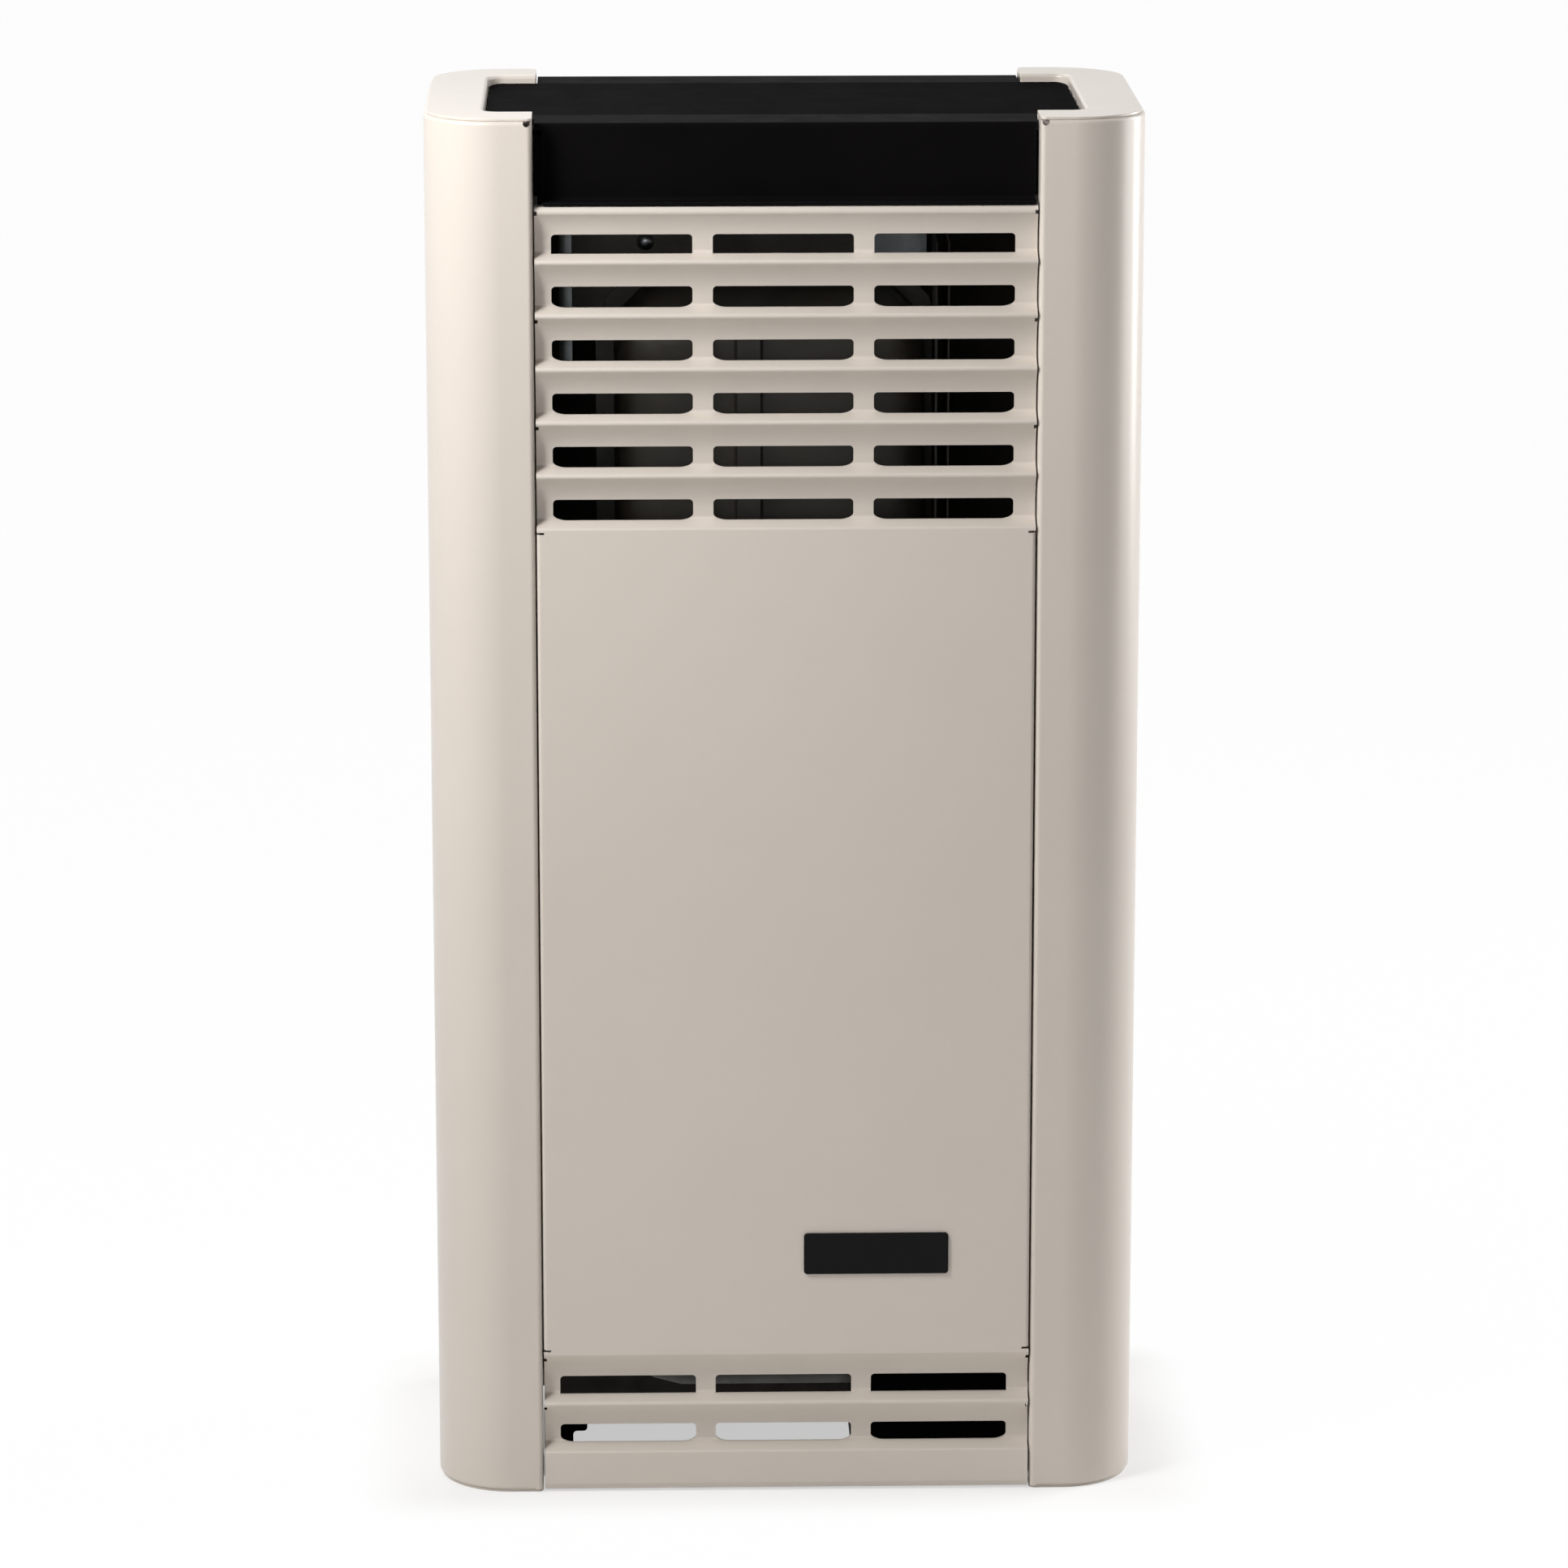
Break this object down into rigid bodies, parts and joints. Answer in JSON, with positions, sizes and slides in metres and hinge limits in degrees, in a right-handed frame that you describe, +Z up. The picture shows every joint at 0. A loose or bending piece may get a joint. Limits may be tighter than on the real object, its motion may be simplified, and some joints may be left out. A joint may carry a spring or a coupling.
{
  "type": "gas heater",
  "caption": "Narrow balanced-flue gas room heater with a louvred beige front panel between round-cornered side columns, a black louvred top and a knob and igniter recessed in its right side.",
  "frame": {"origin": "middle of the underside, where the heater stands on its bottom caps", "axes": "+Z up, the louvred front faces -Y, +X to the right of someone facing the front"},
  "size_m": [0.313, 0.1774, 0.62],
  "materials": {
    "beige_paint": "beige semi-gloss powder coat on sheet steel",
    "black_paint": "black stoved enamel on sheet steel",
    "chamber_enamel": "dark heat-resistant enamel on pressed steel",
    "zinc_sheet": "zinc-coated sheet steel",
    "stainless": "stainless sheet, heat tinted",
    "screw_steel": "zinc-plated steel",
    "spring_steel": "drawn spring wire",
    "brass": "turned brass",
    "copper": null,
    "cast_aluminium": "die-cast aluminium",
    "badge_gloss": "bare gloss black plate",
    "black_plastic": "moulded thermoset plastic",
    "red_plastic": "moulded red plastic",
    "ceramic": null,
    "gasket_fibre": "woven mineral-fibre gasket",
    "silicone": "silicone-sleeved lead",
    "glass": "clear heat-resistant glass"
  },
  "bodies": {
    "casing": {"left_side_column": "beige_paint", "right_side_column": "beige_paint", "left_top_cap": "beige_paint", "right_top_cap": "beige_paint", "left_bottom_cap": "beige_paint", "right_bottom_cap": "beige_paint", "front_panel": "beige_paint", "top_grille": "black_paint", "left_base_bracket": "black_paint", "right_base_bracket": "black_paint", "hot_air_deflector": "black_paint", "valve_bracket": "black_paint", "chamber_front_shell": "chamber_enamel", "chamber_rear_shell": "chamber_enamel", "chamber_front_rib": "chamber_enamel", "burner_door": "chamber_enamel", "back_panel": "zinc_sheet", "upper_cross_rail": "zinc_sheet", "lower_cross_rail": "zinc_sheet", "left_hanger_strip": "zinc_sheet", "right_heat_shield": "zinc_sheet", "chamber_hanger": "zinc_sheet", "rear_air_duct": "zinc_sheet", "flue_collar": "zinc_sheet", "burner_saddle_left": "zinc_sheet", "burner_saddle_right": "zinc_sheet", "pilot_bracket": "zinc_sheet", "exhaust_spigot": "stainless", "sight_glass_ring": "stainless", "burner_tube": "stainless", "pilot_burner": "stainless", "deflector_screw": "screw_steel", "burner_door_screw_1": "screw_steel", "burner_door_screw_2": "screw_steel", "burner_door_screw_3": "screw_steel", "burner_door_screw_4": "screw_steel", "knob_spring": "spring_steel", "igniter_spring": "spring_steel", "injector_holder": "brass", "injector_nozzle": "brass", "valve_bonnet": "brass", "inlet_union_nut": "brass", "main_gas_tube": "copper", "thermocouple": "copper", "pilot_gas_tube": "copper", "thermocouple_lead": "copper", "gas_inlet_pipe": "copper", "thermostat_phial": "copper", "gas_valve_body": "cast_aluminium", "badge_plate": "badge_gloss", "control_tray": "black_plastic", "igniter_body": "black_plastic", "spark_electrode": "ceramic", "burner_door_gasket": "gasket_fibre", "ignition_lead": "silicone", "sight_glass": "glass"},
    "valve_plug": {"valve_plug": "brass"},
    "control_knob": {"knob_spindle": "screw_steel", "control_knob": "black_plastic"},
    "igniter_button": {"igniter_button": "red_plastic"}
  },
  "joints": [
    {"name": "knob_turn", "type": "hinge", "parent": "casing", "child": "valve_plug", "pos_m": [0.1077, 0, 0.084], "axis": [1, 0, 0], "range_deg": [0, 270]},
    {"name": "knob_push", "type": "slide", "parent": "valve_plug", "child": "control_knob", "axis": [-1, 0, 0], "range_m": [0, 0.004], "stiffness_N_per_m": 900, "springref_m": -0.002, "deforming": ["knob_spring"]},
    {"name": "igniter_press", "type": "slide", "parent": "casing", "child": "igniter_button", "axis": [-1, 0, 0], "range_m": [0, 0.006], "stiffness_N_per_m": 600, "springref_m": -0.002, "deforming": ["igniter_spring"]}
  ]
}
